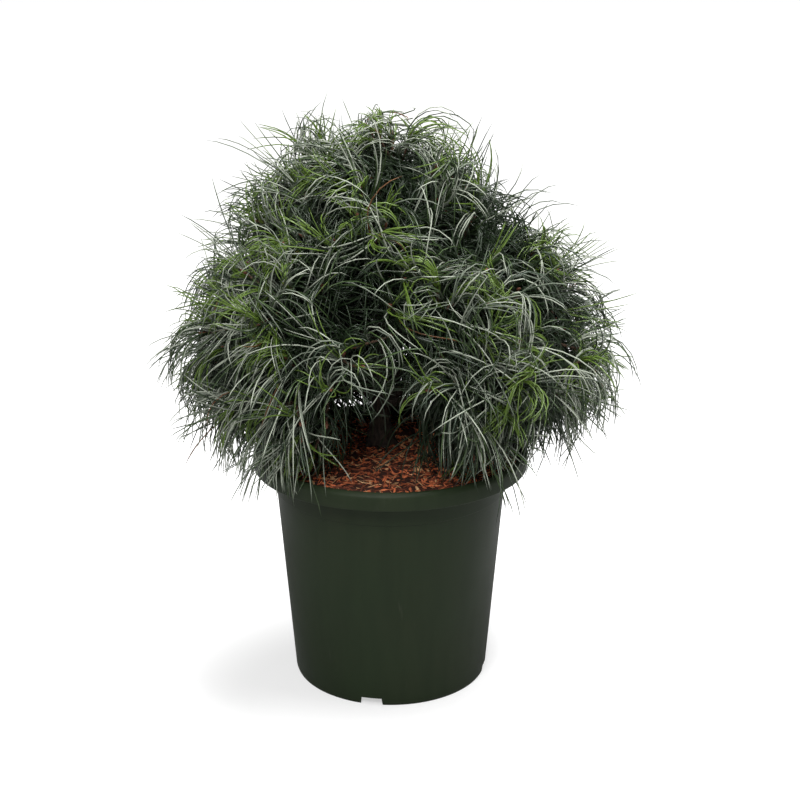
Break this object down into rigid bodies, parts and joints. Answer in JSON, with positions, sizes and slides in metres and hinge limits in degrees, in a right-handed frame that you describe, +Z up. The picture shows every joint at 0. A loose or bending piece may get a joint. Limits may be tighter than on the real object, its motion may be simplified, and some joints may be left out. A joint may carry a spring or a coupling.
{
  "type": "potted white pine",
  "caption": "Dwarf eastern white pine with long drooping needles, growing in a round tapered nursery pot with mulch on its root ball.",
  "frame": {"origin": "centre of the pot's flat underside", "axes": "+Z up along the pot's axis, -Y towards the front, +X to the right seen from the front"},
  "size_m": [0.4577, 0.4075, 0.5776],
  "materials": {
    "pot": "satin dark green moulded plastic",
    "root_ball": "matt reddish bark mulch over potting mix",
    "bark": "matt dark brown bark",
    "foliage": "satin dark green and blue-grey needles"
  },
  "bodies": {
    "root": {"pot": "pot", "root_ball": "root_ball", "trunk": "bark", "bough_low_1": "bark", "bough_low_2": "bark", "bough_low_3": "bark", "bough_low_4": "bark", "bough_low_5": "bark", "bough_low_6": "bark", "bough_middle_1": "bark", "bough_middle_2": "bark", "bough_middle_3": "bark", "bough_middle_4": "bark", "bough_middle_5": "bark", "bough_upper_1": "bark", "bough_upper_2": "bark", "bough_upper_3": "bark", "bough_upper_4": "bark", "foliage_low_1": "foliage", "foliage_low_2": "foliage", "foliage_low_3": "foliage", "foliage_low_4": "foliage", "foliage_low_5": "foliage", "foliage_low_6": "foliage", "foliage_middle_1": "foliage", "foliage_middle_2": "foliage", "foliage_middle_3": "foliage", "foliage_middle_4": "foliage", "foliage_middle_5": "foliage", "foliage_upper_1": "foliage", "foliage_upper_2": "foliage", "foliage_upper_3": "foliage", "foliage_upper_4": "foliage", "foliage_leader": "foliage"}
  },
  "joints": []
}
